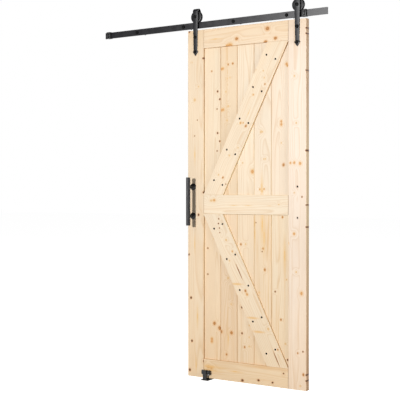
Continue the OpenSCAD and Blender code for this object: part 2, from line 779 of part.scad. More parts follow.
left_stile();
right_stile();
top_rail();
middle_rail();
bottom_rail();
for (i = [1 : board_n]) upper_board(i);
for (i = [1 : board_n]) lower_board(i);
upper_brace();
lower_brace();
brace_screws();
left_hanger_strap();
right_hanger_strap();
hanger_bolts();
hanger_washers();
hanger_nuts();
left_wheel();
right_wheel();
left_wheel_bearing();
right_wheel_bearing();
left_axle_bolt();
right_axle_bolt();
axle_spacers();
axle_nuts();
handle_bar();
handle_end_caps();
upper_handle_post();
lower_handle_post();
handle_rosettes();
handle_screws();
track_rail();
rail_spacers();
rail_washers();
rail_bolts();
left_end_stop();
right_end_stop();
left_bumper();
right_bumper();
stop_set_screws();
guide_base();
front_guide_bracket();
rear_guide_bracket();
guide_clamp_screws();
front_left_roller();
front_right_roller();
rear_left_roller();
rear_right_roller();
roller_pins();
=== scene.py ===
import json
import math
import bpy
from mathutils import Matrix, Vector


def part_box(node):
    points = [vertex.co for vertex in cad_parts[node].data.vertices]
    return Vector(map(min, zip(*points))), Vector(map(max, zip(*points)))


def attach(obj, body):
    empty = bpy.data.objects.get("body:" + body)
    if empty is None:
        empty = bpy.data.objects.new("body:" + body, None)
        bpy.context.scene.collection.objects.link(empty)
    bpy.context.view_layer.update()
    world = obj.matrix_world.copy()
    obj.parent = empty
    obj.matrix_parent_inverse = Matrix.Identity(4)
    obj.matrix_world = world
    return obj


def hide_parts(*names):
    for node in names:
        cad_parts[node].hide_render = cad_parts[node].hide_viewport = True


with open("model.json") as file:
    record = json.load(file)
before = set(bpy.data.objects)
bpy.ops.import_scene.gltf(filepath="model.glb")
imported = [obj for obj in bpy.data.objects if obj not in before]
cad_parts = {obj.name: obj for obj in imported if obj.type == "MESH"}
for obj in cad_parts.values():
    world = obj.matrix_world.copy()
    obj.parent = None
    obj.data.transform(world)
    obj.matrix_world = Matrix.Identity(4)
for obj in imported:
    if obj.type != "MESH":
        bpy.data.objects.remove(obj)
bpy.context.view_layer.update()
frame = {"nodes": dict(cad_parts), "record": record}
nodes = frame["nodes"]
scene = bpy.context.scene
print("frame loaded:", len(nodes), "pieces")


def mm(value):
    return value / 1000.0


def srgb(red, green, blue, share=1.0):
    linear = [(c / 255.0) ** 2.2 * share for c in (red, green, blue)]
    return (*linear, 1.0)


def deselectAll():
    if bpy.context.object and bpy.context.object.mode != "OBJECT":
        bpy.ops.object.mode_set(mode="OBJECT")
    bpy.ops.object.select_all(action="DESELECT")


cameraSetup = {"lens": 81.9, "place": (2.988, -4.7155, 1.164), "turn": 32.9, "shiftY": -0.0265}


def makeCamera(setup):
    deselectAll()
    turn = (math.radians(90), 0, math.radians(setup["turn"]))
    bpy.ops.object.camera_add(location=setup["place"], rotation=turn)
    camera = bpy.context.object
    camera.data.lens = setup["lens"]
    camera.data.sensor_width = 36
    camera.data.shift_y = setup["shiftY"]
    camera.data.clip_end = 100
    scene.camera = camera


studio = {
    "backdrop": (1.0, 1.0, 1.0), "fill": 0.15,
    "key": {"place": (-1.1, -9.0, 2.5), "aim": (0.3, 0, 1.2), "size": 0.7, "watts": 840},
    "top": {"place": (-0.45, -2.8, 2.85), "aim": (0.3, 0, 2.1), "size": 0.9, "watts": 10},
    "side": {"place": (3.6, -0.9, 1.35), "aim": (0.6, 0, 1.35), "size": 1.4, "watts": 64},
    "back": {"place": (0.6, 3.6, 2.6), "aim": (0.2, 0, 1.3), "size": 2.2, "watts": 90},
}


def addLight(name, setup):
    deselectAll()
    bpy.ops.object.light_add(type="AREA", location=setup["place"])
    light = bpy.context.object
    light.name = name
    light.data.shape = "DISK"
    light.data.size = setup["size"]
    light.data.energy = setup["watts"]
    light.visible_camera = False
    aim = Vector(setup["aim"]) - Vector(setup["place"])
    light.rotation_euler = aim.to_track_quat("-Z", "Y").to_euler()


def makeStudio(setup):
    world = bpy.data.worlds.new("studio")
    scene.world = world
    world.use_nodes = True
    tree = world.node_tree
    tree.nodes.clear()
    out = tree.nodes.new("ShaderNodeOutputWorld")
    mix = tree.nodes.new("ShaderNodeMixShader")
    seen = tree.nodes.new("ShaderNodeBackground")
    seen.inputs["Color"].default_value = (*setup["backdrop"], 1)
    fill = tree.nodes.new("ShaderNodeBackground")
    fill.inputs["Color"].default_value = (*setup["backdrop"], 1)
    fill.inputs["Strength"].default_value = setup["fill"]
    path = tree.nodes.new("ShaderNodeLightPath")
    tree.links.new(path.outputs["Is Camera Ray"], mix.inputs["Fac"])
    tree.links.new(fill.outputs[0], mix.inputs[1])
    tree.links.new(seen.outputs[0], mix.inputs[2])
    tree.links.new(mix.outputs[0], out.inputs["Surface"])
    for name in ("key", "top", "side", "back"):
        addLight(name + "Light", setup[name])
    scene.view_settings.view_transform = "Standard"


floorLook = {"size": 60, "colour": (0.86, 0.86, 0.86, 1), "rough": 0.9, "gloss": 0.1,
             "glow": 0.86}


def makeFloor():
    deselectAll()
    bpy.ops.mesh.primitive_plane_add(size=floorLook["size"], location=(0, 0, 0))
    floor = bpy.context.object
    floor.name = "studioFloor"
    bpy.ops.object.transform_apply(location=True, rotation=True, scale=True)
    material = bpy.data.materials.new("paleFloor")
    material.use_nodes = True
    shader = material.node_tree.nodes["Principled BSDF"]
    shader.inputs["Base Color"].default_value = floorLook["colour"]
    shader.inputs["Roughness"].default_value = floorLook["rough"]
    shader.inputs["Specular IOR Level"].default_value = floorLook["gloss"]
    shader.inputs["Emission Color"].default_value = (1, 1, 1, 1)
    shader.inputs["Emission Strength"].default_value = floorLook["glow"]
    floor.data.materials.append(material)
    floor.visible_diffuse = False    # seen as white paper, without lighting the door from below


class Graph:
    def __init__(self, name):
        self.material = bpy.data.materials.new(name)
        self.material.use_nodes = True
        self.tree = self.material.node_tree
        self.shader = self.tree.nodes["Principled BSDF"]

    def feed(self, socket, value):
        if isinstance(value, bpy.types.NodeSocket):
            self.tree.links.new(value, socket)
        elif value is not None:
            socket.default_value = value

    def math(self, operation, a, b=None, c=None):
        node = self.tree.nodes.new("ShaderNodeMath")
        node.operation = operation
        for socket, value in zip(node.inputs, (a, b, c)):
            self.feed(socket, value)
        return node.outputs[0]

    def vector(self, operation, a, b=None, c=None):
        node = self.tree.nodes.new("ShaderNodeVectorMath")
        node.operation = operation
        self.feed(node.inputs[0], a)
        for socket, value in zip(node.inputs[1:], (b, c)):
            self.feed(socket, value)
        return node.outputs["Value" if operation == "DISTANCE" else "Vector"]

    def mix(self, factor, a, b, blend="MIX"):
        node = self.tree.nodes.new("ShaderNodeMix")
        node.data_type = "RGBA"
        node.blend_type = blend
        self.feed(node.inputs[0], factor)
        self.feed(node.inputs[6], a)
        self.feed(node.inputs[7], b)
        return node.outputs[2]

    def noise(self, vector, scale, detail=2.0, roughness=0.5):
        node = self.tree.nodes.new("ShaderNodeTexNoise")
        self.feed(node.inputs["Vector"], vector)
        node.inputs["Scale"].default_value = scale
        node.inputs["Detail"].default_value = detail
        node.inputs["Roughness"].default_value = roughness
        return node.outputs

    def ramp(self, factor, stops):
        node = self.tree.nodes.new("ShaderNodeValToRGB")
        while len(node.color_ramp.elements) < len(stops):
            node.color_ramp.elements.new(0.5)
        for element, (spot, shade) in zip(node.color_ramp.elements, stops):
            element.position = spot
            element.color = (shade, shade, shade, 1)
        self.feed(node.inputs[0], factor)
        return node.outputs[0]

    def bump(self, height, strength, distance):
        node = self.tree.nodes.new("ShaderNodeBump")
        node.inputs["Strength"].default_value = strength
        node.inputs["Distance"].default_value = distance
        self.feed(node.inputs["Height"], height)
        self.feed(self.shader.inputs["Normal"], node.outputs[0])

    def objectPoint(self):
        return self.tree.nodes.new("ShaderNodeTexCoord").outputs["Object"]


leafLow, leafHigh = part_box("left_stile")[0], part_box("right_stile")[1]
doorLeft, doorRight = leafLow[0], leafHigh[0]
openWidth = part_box("right_stile")[0][0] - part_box("left_stile")[1][0]
# pineLook holds painted shade and light tints: one darkening the wood towards the floor and under
# the rail, and side and sideEnd for the side faces
pineLook = {
    "ringWidth": 0.0042, "ringShare": 0.36, "streakShare": 0.55, "lightShare": 0.82,
    "late": (214, 168, 112), "amber": (224, 170, 100),
    "foot": (0.94, 0.87, 0.77, 1), "joint": (0.5, 0.38, 0.28, 1), "jointWide": 1.6,
    "side": (1.0, 0.93, 0.72, 1), "sideEnd": (0.78, 0.6, 0.42, 1), "edgeDepth": 0.35,
    "rampHeight": 2200,
    "raggedScale": 90, "wanderScale": 7, "streakScale": 42, "cloudScale": 5, "fibreScale": 900,
}
# colours of heart, rim and halo; reach and spread are in knot radii;
# stretch is along the grain, across is level whatever the grain's angle
knotKinds = {
    "dark": {"heart": (112, 70, 34), "rim": (56, 34, 16), "reach": 0.95, "halo": (208, 138, 62),
             "glow": 0.75, "spread": 2.0},
    "brown": {"heart": (192, 134, 70), "rim": (152, 102, 50), "reach": 0.9,
              "halo": (216, 152, 74), "glow": 0.75, "spread": 2.2},
    "orange": {"heart": (214, 158, 98), "rim": (204, 146, 86), "reach": 0.8,
               "halo": (228, 180, 108), "glow": 0.65, "spread": 2.3},
    "faint": {"heart": (226, 188, 138), "rim": (216, 174, 120), "reach": 0.7,
              "halo": (232, 198, 148), "glow": 0.4, "spread": 2.2},
    "flame": {"heart": (230, 186, 124), "rim": (231, 189, 130), "reach": 0.35,
              "halo": (229, 188, 126), "glow": 0.6, "spread": 1.8, "stretch": 9},
    "pitch": {"heart": (128, 80, 46), "rim": (158, 106, 62), "reach": 0.9,
              "halo": (206, 160, 108), "glow": 0.4, "spread": 2.0, "stretch": 17},
    # hole: painted shade, near-black spots over the spare holes standing in for the shade inside
    # them
    "hole": {"heart": (20, 15, 12), "rim": (24, 18, 14), "reach": 1.0, "halo": (170, 130, 92),
             "glow": 0.3, "spread": 1.6},
    "band": {"heart": (228, 188, 134), "rim": (230, 192, 140), "reach": 0.6,
             "halo": (230, 192, 140), "glow": 0.8, "spread": 1.5, "across": 6},
}


def pineMaterial(name, board):
    g = Graph("pine_" + name)
    angle = math.radians(board.get("angle", 0))
    low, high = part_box(name)
    toGrain = Matrix.Rotation(-angle, 3, "Y")
    middle = toGrain @ ((Vector(low) + Vector(high)) / 2)
    world = g.objectPoint()
    mapping = g.tree.nodes.new("ShaderNodeMapping")
    g.feed(mapping.inputs["Vector"], world)
    mapping.inputs["Rotation"].default_value = (0, -angle, 0)
    mapping.inputs["Location"].default_value = -middle
    point = mapping.outputs["Vector"]    # along the grain in Z, from the middle of the piece
    seed = Vector((1.7, 2.3, 3.1)) * board["seed"]

    # distance to the nearest knot of one kind, in knot radii
    def knotField(kind):
        stretch = knotKinds[kind].get("stretch", 1.2)
        across = knotKinds[kind].get("across")
        squeeze = (1 / across, 0, 1) if across else (1, 0, 1 / stretch)
        flat = g.vector("MULTIPLY", world if across else point, squeeze)
        ragged = g.noise(g.vector("ADD", point, seed), pineLook["raggedScale"], 2)[0]
        nearest = None
        for s, z, radius in board[kind]:
            spot = toGrain @ Vector((doorLeft + mm(s), 0, mm(z))) - middle
            level = ((doorLeft + mm(s)) / across, 0, mm(z)) if across else None
            away = g.vector("DISTANCE", flat, level or (spot.x, 0, spot.z / stretch))
            away = g.math("DIVIDE", away, mm(radius))
            nearest = away if nearest is None else g.math("MINIMUM", nearest, away)
        return g.math("ADD", nearest, g.math("MULTIPLY_ADD", ragged, 0.5, -0.25))

    fields = {kind: knotField(kind) for kind in knotKinds if board.get(kind)}

    # growth rings round a pith behind the board, pushed aside by the knots
    slow = g.vector("ADD", g.vector("MULTIPLY", point, (1, 1, 0.11)), seed)
    drift = g.noise(slow, pineLook["wanderScale"], 2)
    wander = g.vector("MULTIPLY_ADD", drift["Color"], (0.07, 0.05, 0), (-0.035, -0.025, 0))
    around = g.vector("MULTIPLY", g.vector("ADD", point, wander), (1, 1, 0.02))
    radius = g.vector("DISTANCE", around, (board["pith"], board["depth"], 0))
    phase = g.math("DIVIDE", radius, pineLook["ringWidth"])
    for kind, field in fields.items():
        if kind in ("dark", "brown", "orange", "faint"):
            square = g.math("POWER", g.math("MAXIMUM", field, 0), 2)
            swell = g.math("EXPONENT", g.math("MULTIPLY", square, -0.14))
            phase = g.math("MULTIPLY_ADD", swell, 2.6, phase)
    rings = g.ramp(g.math("FRACT", phase), [(0, 0.1), (0.5, 0.22), (0.86, 1.0), (1.0, 0.15)])

    share = pineLook["lightShare"]
    amber = srgb(*pineLook["amber"], share)
    colour = g.mix(g.math("MULTIPLY", rings, pineLook["ringShare"]),
                   srgb(*board["tone"], share), srgb(*pineLook["late"], share))

    # long amber streaks, slow clouds and fine fibres
    long = g.vector("ADD", g.vector("MULTIPLY", point, (1, 1, 0.035)), seed)
    streak = g.ramp(g.noise(long, pineLook["streakScale"], 3, 0.6)[0], [(0.5, 0.0), (0.74, 1.0)])
    depth = pineLook["streakShare"] * board["streaks"]
    colour = g.mix(g.math("MULTIPLY", streak, depth), colour, amber)
    slower = g.vector("ADD", g.vector("MULTIPLY", point, (1, 1, 0.3)), seed)
    cloud = g.ramp(g.noise(slower, pineLook["cloudScale"], 2)[0], [(0.3, 0.91), (0.7, 1.0)])
    colour = g.mix(1.0, colour, cloud, "MULTIPLY")
    fibre = g.noise(g.vector("MULTIPLY", point, (1, 1, 0.02)), pineLook["fibreScale"], 3, 0.65)[0]
    colour = g.mix(1.0, colour, g.ramp(fibre, [(0.25, 0.93), (0.7, 1.0)]), "MULTIPLY")

    for kind, field in fields.items():
        look = knotKinds[kind]
        scaled = g.math("MULTIPLY", field, 0.25)
        edge, far = look["reach"] / 4, look["spread"] / 4
        glow = look["glow"]
        halo = g.ramp(scaled, [(edge * 0.8, glow), ((edge + far) / 2, glow * 0.4), (far, 0.0)])
        colour = g.mix(halo, colour, srgb(*look["halo"], share))
        inner = g.mix(g.ramp(scaled, [(0.0, 0.0), (edge * 0.55, 0.2), (edge * 0.9, 1.0)]),
                      srgb(*look["heart"], share), srgb(*look["rim"], share))
        colour = g.mix(g.ramp(scaled, [(edge * 0.85, 1.0), (edge * 1.2, 0.0)]), colour, inner)

    # painted shade, darker and warmer towards the floor and under the rail; side faces browner,
    # with painted shade and light that change with height; a dark line in the joints
    coords = g.tree.nodes.new("ShaderNodeSeparateXYZ")
    g.feed(coords.inputs[0], world)
    tall = g.math("DIVIDE", coords.outputs[2], mm(pineLook["rampHeight"]))
    heightShade = g.ramp(tall, [(0.0, 1.0), (0.2, 0.5), (0.5, 0.1), (0.8, 0.0), (0.9, 0.12),
                         (0.97, 0.75)])
    colour = g.mix(heightShade, colour, g.mix(1.0, colour, pineLook["foot"], "MULTIPLY"))
    halfThick = (high[1] - low[1]) / 2
    face = g.math("ABSOLUTE", g.math("SUBTRACT", coords.outputs[1], (high[1] + low[1]) / 2))
    side = g.math("LESS_THAN", face, halfThick - mm(pineLook["edgeDepth"]))
    # painted shade and light on the side faces: browner near the floor and high up, paler around
    # mid height where the side light falls; the boards' groove faces get a paler mix
    sideShading = g.ramp(tall, [(0.0, 1.0), (0.2, 0.6), (0.45, 0.0), (0.66, 0.15), (0.78, 0.85),
                         (0.97, 0.85)])
    brown = g.mix(sideShading, pineLook["side"], pineLook["sideEnd"])
    if "_board_" in name:
        brown = g.mix(0.45, brown, (1, 1, 1, 1))
    colour = g.mix(side, colour, g.mix(1.0, colour, brown, "MULTIPLY"))
    if name.endswith("_rail"):    # dark line where a rail meets the stiles
        centre = (doorLeft + doorRight) / 2
        along = g.math("ABSOLUTE", g.math("SUBTRACT", coords.outputs[0], centre))
        line = g.math("GREATER_THAN", along, openWidth / 2 - mm(pineLook["jointWide"]))
        colour = g.mix(line, colour, g.mix(1.0, colour, pineLook["joint"], "MULTIPLY"))

    g.feed(g.shader.inputs["Base Color"], colour)
    g.feed(g.shader.inputs["Roughness"], g.ramp(fibre, [(0.2, 0.62), (0.8, 0.46)]))
    g.shader.inputs["Specular IOR Level"].default_value = 0.28
    g.bump(g.math("MULTIPLY_ADD", rings, -0.35, fibre), 0.22, 0.0006)
    return g.material


woodPieces = {
    "left_stile": {
        "tone": (243, 222, 193), "seed": 1.1, "pith": 0.02, "depth": 0.09, "streaks": 0.5,
        "dark": [(12, 2141, 6), (50, 1716, 4.5), (78, 1008, 6), (8, 761, 5), (23, 494, 6),
                 (30, 228, 6), (14, 47, 7), (118, 110, 6), (112, 1968, 5), (69, 1591, 3),
                 (50, 1494, 3), (114, 1146, 5)],
        "faint": [(30, 1949, 4), (78, 1797, 6), (50, 1716, 10)],
        "flame": [(50, 825, 5), (50, 1375, 5), (70, 380, 7), (60, 80, 5)]},
    "right_stile": {
        "tone": (247, 230, 212), "seed": 2.4, "pith": -0.01, "depth": 0.07, "streaks": 0.2,
        "dark": [(785, 1121, 4), (791, 234, 4), (811, 2089, 3.5), (811, 2057, 3.5),
                 (811, 1846, 3.5), (811, 1387, 4.5), (811, 1075, 3), (811, 948, 3.5),
                 (811, 102, 3.5), (811, 68, 3.5)],
        # painted shade in the two spare holes
        "hole": [(756, 1180, 5), (756, 1000, 5)],
        "brown": [(794, 102, 6), (758, 222, 4)],
        "orange": [(711, 1317, 6), (773, 1313, 8), (735, 1318, 7), (735, 908, 7), (694, 853, 6),
                   (782, 567, 9)],
        "faint": [(736, 1818, 6), (748, 1547, 6), (736, 1144, 5), (748, 688, 6), (774, 36, 5)]},
    "top_rail": {
        "angle": 90, "tone": (246, 226, 199), "seed": 3.7, "pith": 0.0, "depth": 0.1,
        "streaks": 0.35,
        "dark": [(350, 2066, 3), (560, 2108, 3.5)],
        "brown": [(350, 2067, 8), (301, 2031, 10), (560, 2108, 10), (613, 2047, 8),
                  (548, 2031, 8)],
        "orange": [(304, 2031, 11), (284, 2031, 8)],
        "flame": [(198, 2079, 4)]},
    "middle_rail": {
        "angle": 90, "tone": (246, 229, 203), "seed": 4.2, "pith": 0.012, "depth": 0.12,
        "streaks": 0.3,
        "orange": [(191, 1098, 8)],
        "faint": [(635, 1076, 5), (170, 1096, 9)],
        "flame": [(330, 1068, 3), (430, 1067, 3), (575, 1068, 2)]},
    "bottom_rail": {
        "angle": 90, "tone": (245, 223, 192), "seed": 5.9, "pith": -0.015, "depth": 0.05,
        "streaks": 1.0,
        "orange": [(150, 80, 9), (172, 76, 8)],
        "dark": [(390, 24, 7), (500, 37, 6), (594, 34, 5), (666, 95, 4)],
        "flame": [(165, 82, 10), (160, 60, 8), (340, 71, 5)]},
    "upper_board_1": {
        "tone": (246, 226, 197), "seed": 6.3, "pith": 0.03, "depth": 0.08, "streaks": 0.4,
        "dark": [(210, 1760, 5), (225, 1712, 4.5), (206, 1653, 3.5), (210, 1507, 5),
                 (225, 1457, 4.5), (206, 1398, 3.5)],
        "brown": [(168, 1886, 4)]},
    "upper_board_2": {
        "tone": (243, 220, 188), "seed": 7.7, "pith": -0.02, "depth": 0.05, "streaks": 0.7,
        "brown": [(285, 1919, 4.5), (317, 1922, 5)],
        "orange": [(238, 1895, 7), (248, 1896, 7), (241, 1645, 7), (251, 1648, 7)],
        "faint": [(278, 1834, 5), (298, 1839, 5), (269, 1755, 6), (285, 1666, 8), (278, 1581, 6)]},
    "upper_board_3": {
        "tone": (246, 228, 202), "seed": 8.2, "pith": 0.01, "depth": 0.11, "streaks": 0.3,
        "brown": [(453, 1270, 6)],
        "orange": [(453, 1270, 10)],
        "faint": [(387, 1323, 5)]},
    "upper_board_4": {
        "tone": (247, 230, 206), "seed": 9.5, "pith": 0.025, "depth": 0.09, "streaks": 0.25,
        "orange": [(503, 1165, 5), (518, 1155, 5), (532, 1166, 5)],
        "faint": [(511, 1504, 9), (522, 1504, 6), (540, 1344, 6), (530, 1343, 5)],
        "flame": [(517, 1175, 8)]},
    "upper_board_5": {
        "tone": (247, 229, 206), "seed": 10.8, "pith": -0.03, "depth": 0.07, "streaks": 0.3,
        "brown": [(686, 1883, 5), (661, 1307, 7)],
        "orange": [(681, 1892, 8), (646, 1560, 7), (646, 1543, 8)],
        "faint": [(646, 1435, 5)]},
    "lower_board_1": {
        "tone": (244, 221, 190), "seed": 11.6, "pith": 0.035, "depth": 0.06, "streaks": 0.5,
        "dark": [(140, 804, 4), (140, 645, 4), (187, 345, 4), (225, 319, 5)],
        "brown": [(141, 960, 5), (187, 347, 8), (225, 321, 9)],
        "orange": [(169, 236, 8), (169, 250, 8)],
        "faint": [(183, 865, 6)]},
    "lower_board_2": {
        "tone": (243, 218, 187), "seed": 12.1, "pith": 0.0, "depth": 0.05, "streaks": 0.6,
        "dark": [(309, 298, 4)],
        "brown": [(237, 301, 7), (308, 300, 8), (274, 166, 5)],
        "faint": [(306, 472, 6), (284, 629, 8)],
        "flame": [(286, 262, 5)]},
    "lower_board_3": {
        "tone": (246, 225, 196), "seed": 13.4, "pith": -0.01, "depth": 0.1, "streaks": 0.4,
        "dark": [(381, 458, 5), (382, 303, 5)],
        "brown": [(374, 835, 5), (400, 222, 5)],
        "faint": [(407, 837, 6), (431, 354, 5), (431, 284, 5), (431, 229, 6)]},
    "lower_board_4": {
        "tone": (247, 225, 194), "seed": 14.9, "pith": 0.02, "depth": 0.045, "streaks": 1.0,
        "dark": [(477, 967, 3), (519, 797, 3)],
        "brown": [(526, 815, 5), (537, 691, 6)],
        "faint": [(499, 554, 6)],
        "flame": [(468, 900, 7), (468, 960, 6), (520, 960, 12), (532, 880, 10)]},
    "lower_board_5": {
        "tone": (246, 227, 198), "seed": 15.2, "pith": -0.025, "depth": 0.08, "streaks": 0.7,
        "dark": [(606, 566, 4), (689, 175, 5)],
        "brown": [(654, 1002, 5), (644, 405, 5)],
        "faint": [(673, 267, 6), (680, 640, 6)],
        "flame": [(668, 775, 10)]},
    "upper_brace": {
        "angle": 26.2, "tone": (247, 229, 202), "seed": 16.6, "pith": 0.02, "depth": 0.09,
        "streaks": 0.35,
        "dark": [(275, 1196, 3)],
        "brown": [(414, 1542, 6), (253, 1236, 5), (543, 1783, 4)],
        "orange": [(378, 1561, 6), (465, 1725, 5), (395, 1561, 4)],
        "faint": [(483, 1871, 4), (532, 1862, 5), (539, 1821, 5), (360, 1413, 5), (300, 1368, 6),
                  (222, 1253, 6)],
        "flame": [(432, 1618, 3)]},
    "lower_brace": {
        "angle": 153.4, "tone": (247, 230, 204), "seed": 17.3, "pith": -0.02, "depth": 0.1,
        "streaks": 0.3,
        "dark": [(224, 985, 3.5), (222, 957, 3.5), (229, 930, 3.5), (232, 902, 3)],
        "brown": [(411, 560, 6), (629, 230, 4)],
        "orange": [(320, 792, 5), (422, 540, 7)],
        "faint": [(277, 859, 8), (300, 734, 6), (565, 345, 8)],
        "pitch": [(366, 674, 3.2), (619, 176, 3)],
        "band": [(352, 597, 7), (458, 402, 7), (500, 323, 7)]},
}


def paintWood():
    for name, board in woodPieces.items():
        paint(name, pineMaterial(name, board))


finishes = {
    "railCoat": {"colour": (0.0035, 0.003, 0.005), "rough": (0.3, 0.38), "grain": 1400,
                 "bump": 0.08, "gloss": 0.5},
    "strapCoat": {"colour": (0.01, 0.01, 0.012), "rough": (0.34, 0.46), "grain": 1400,
                  "bump": 0.12, "gloss": 0.3},
    "darkCoat": {"colour": (0.004, 0.004, 0.005), "rough": (0.4, 0.5), "grain": 1400, "bump": 0.1,
                 "gloss": 0.35},
    "fastener": {"colour": (0.002, 0.002, 0.002), "rough": (0.6, 0.7), "grain": 1800,
                 "bump": 0.06, "gloss": 0.1},
    "nylon": {"colour": (0.003, 0.003, 0.004), "rough": (0.4, 0.5), "grain": 700, "bump": 0.06,
              "gloss": 0.3},
    "steel": {"colour": (0.42, 0.43, 0.45), "metal": 1.0, "rough": (0.28, 0.42), "grain": 500,
              "bump": 0.05, "gloss": 0.5},
    "rubber": {"colour": (0.01, 0.01, 0.01), "rough": (0.7, 0.85), "grain": 900, "bump": 0.1,
               "gloss": 0.3},
}


def finishMaterial(name, look):
    g = Graph(name)
    point = g.objectPoint()
    grain = g.noise(point, look["grain"], 2)[0]
    patches = g.noise(point, 24, 3)[0]
    shade = g.ramp(patches, [(0.3, 0.82), (0.7, 1.0)])
    g.feed(g.shader.inputs["Base Color"], g.mix(1.0, (*look["colour"], 1), shade, "MULTIPLY"))
    g.shader.inputs["Metallic"].default_value = look.get("metal", 0.0)
    low, high = look["rough"]
    g.feed(g.shader.inputs["Roughness"], g.ramp(patches, [(0.25, low), (0.75, high)]))
    g.shader.inputs["Specular IOR Level"].default_value = look["gloss"]
    g.bump(grain, look["bump"], 0.0004)
    return g.material


def paint(name, material):
    nodes[name].data.materials.clear()
    nodes[name].data.materials.append(material)


slotFinish = {"coated_steel": "darkCoat", "black_fasteners": "fastener", "black_nylon": "nylon",
              "bare_steel": "steel", "bumper_rubber": "rubber"}


def paintHardware():
    for row in frame["record"]["subparts"]:
        if row["material_slot"] in slotFinish:
            paint(row["node"], madeFinishes[slotFinish[row["material_slot"]]])
    paint("track_rail", madeFinishes["railCoat"])


meshing = {"weld": 0.00001, "bevelAngle": 35, "bevelSteps": 2, "smoothAngle": 32,
           "headEdge": 0.8, "overlap": 1}


def startPoint(where):
    deselectAll()
    bpy.ops.mesh.primitive_plane_add(size=0.002, location=(0, 0, 0))
    bpy.ops.object.mode_set(mode="EDIT")
    bpy.ops.mesh.select_mode(type="VERT")
    bpy.ops.mesh.select_all(action="SELECT")
    bpy.ops.mesh.merge(type="CENTER")
    bpy.ops.transform.translate(value=where)
    return bpy.context.object


def extrudeBy(step):
    bpy.ops.mesh.extrude_region_move(TRANSFORM_OT_translate={"value": step})


def tidyMesh():
    bpy.ops.mesh.select_all(action="SELECT")
    bpy.ops.mesh.remove_doubles(threshold=meshing["weld"])
    bpy.ops.mesh.normals_make_consistent(inside=False)
    bpy.ops.object.mode_set(mode="OBJECT")


def tracePoints(points):
    piece = startPoint(points[0])
    for before, after in zip(points, points[1:]):
        extrudeBy(Vector(after) - Vector(before))
    bpy.ops.mesh.select_all(action="SELECT")
    return piece


def lathe(profile, centre, axis, steps=48):
    # profile: (radius, distance along the axis) in mm, spun round the axis through centre
    centre = Vector(centre)
    points = [centre + Vector((mm(r), mm(a), 0) if axis == "Y" else (mm(r), 0, mm(a)))
              for r, a in profile]
    piece = tracePoints(points)
    turn = (0, 1, 0) if axis == "Y" else (0, 0, 1)
    bpy.ops.mesh.spin(steps=steps, angle=math.radians(360), center=centre, axis=turn)
    tidyMesh()
    return piece


def prism(points, depth):
    # closed outline in metres, extruded along X
    piece = tracePoints([*points, points[0]])
    bpy.ops.mesh.remove_doubles(threshold=meshing["weld"])
    bpy.ops.mesh.select_all(action="SELECT")
    bpy.ops.mesh.edge_face_add()
    extrudeBy((depth, 0, 0))
    tidyMesh()
    return piece


def hexHead(x, z, yFront, yBack, cornerRadius):
    deselectAll()
    quarter = math.radians(90)
    bpy.ops.mesh.primitive_cylinder_add(vertices=6, radius=mm(cornerRadius), depth=yBack - yFront,
                                        location=(x, (yFront + yBack) / 2, z),
                                        rotation=(quarter, quarter, 0))
    return bpy.context.object


def shank(x, z, yFront, yBack, radius):
    deselectAll()
    bpy.ops.mesh.primitive_cylinder_add(vertices=32, radius=mm(radius), depth=yBack - yFront,
                                        location=(x, (yFront + yBack) / 2, z),
                                        rotation=(math.radians(90), 0, 0))
    return bpy.context.object


def addBevel(piece, width):
    deselectAll()
    piece.select_set(True)
    bpy.context.view_layer.objects.active = piece
    bpy.ops.object.transform_apply(location=True, rotation=True, scale=True)
    bevel = piece.modifiers.new("roundedEdges", "BEVEL")
    bevel.width = mm(width)
    bevel.segments = meshing["bevelSteps"]
    bevel.limit_method = "ANGLE"
    bevel.angle_limit = math.radians(meshing["bevelAngle"])
    bpy.ops.object.modifier_apply(modifier=bevel.name)
    return piece


def cutHoles(piece, cutters):
    for cutter in cutters:
        deselectAll()
        piece.select_set(True)
        bpy.context.view_layer.objects.active = piece
        hole = piece.modifiers.new("hole", "BOOLEAN")
        hole.operation = "DIFFERENCE"
        hole.object = cutter
        bpy.ops.object.modifier_apply(modifier=hole.name)
        bpy.data.objects.remove(cutter)


def place(pieces, name, body, finish, replaced):
    deselectAll()
    for piece in pieces:
        piece.select_set(True)
    bpy.context.view_layer.objects.active = pieces[0]
    if len(pieces) > 1:
        bpy.ops.object.join()
    piece = bpy.context.object
    bpy.ops.object.transform_apply(location=True, rotation=True, scale=True)
    bpy.ops.object.shade_smooth_by_angle(angle=math.radians(meshing["smoothAngle"]))
    piece.name = name
    piece.data.materials.clear()
    piece.data.materials.append(madeFinishes[finish])
    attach(piece, body)
    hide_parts(*replaced)


def middleOf(node):
    low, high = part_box(node)
    return (Vector(low) + Vector(high)) / 2


strapShape = {"thick": 5, "wide": 36, "neck": 25, "arrow": 38, "tip": 1.2, "neckRise": 6.5,
              "arrowDrop": 26, "bendSteps": 14, "legGap": 12, "edge": 1.3}
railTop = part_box("track_rail")[1][2]


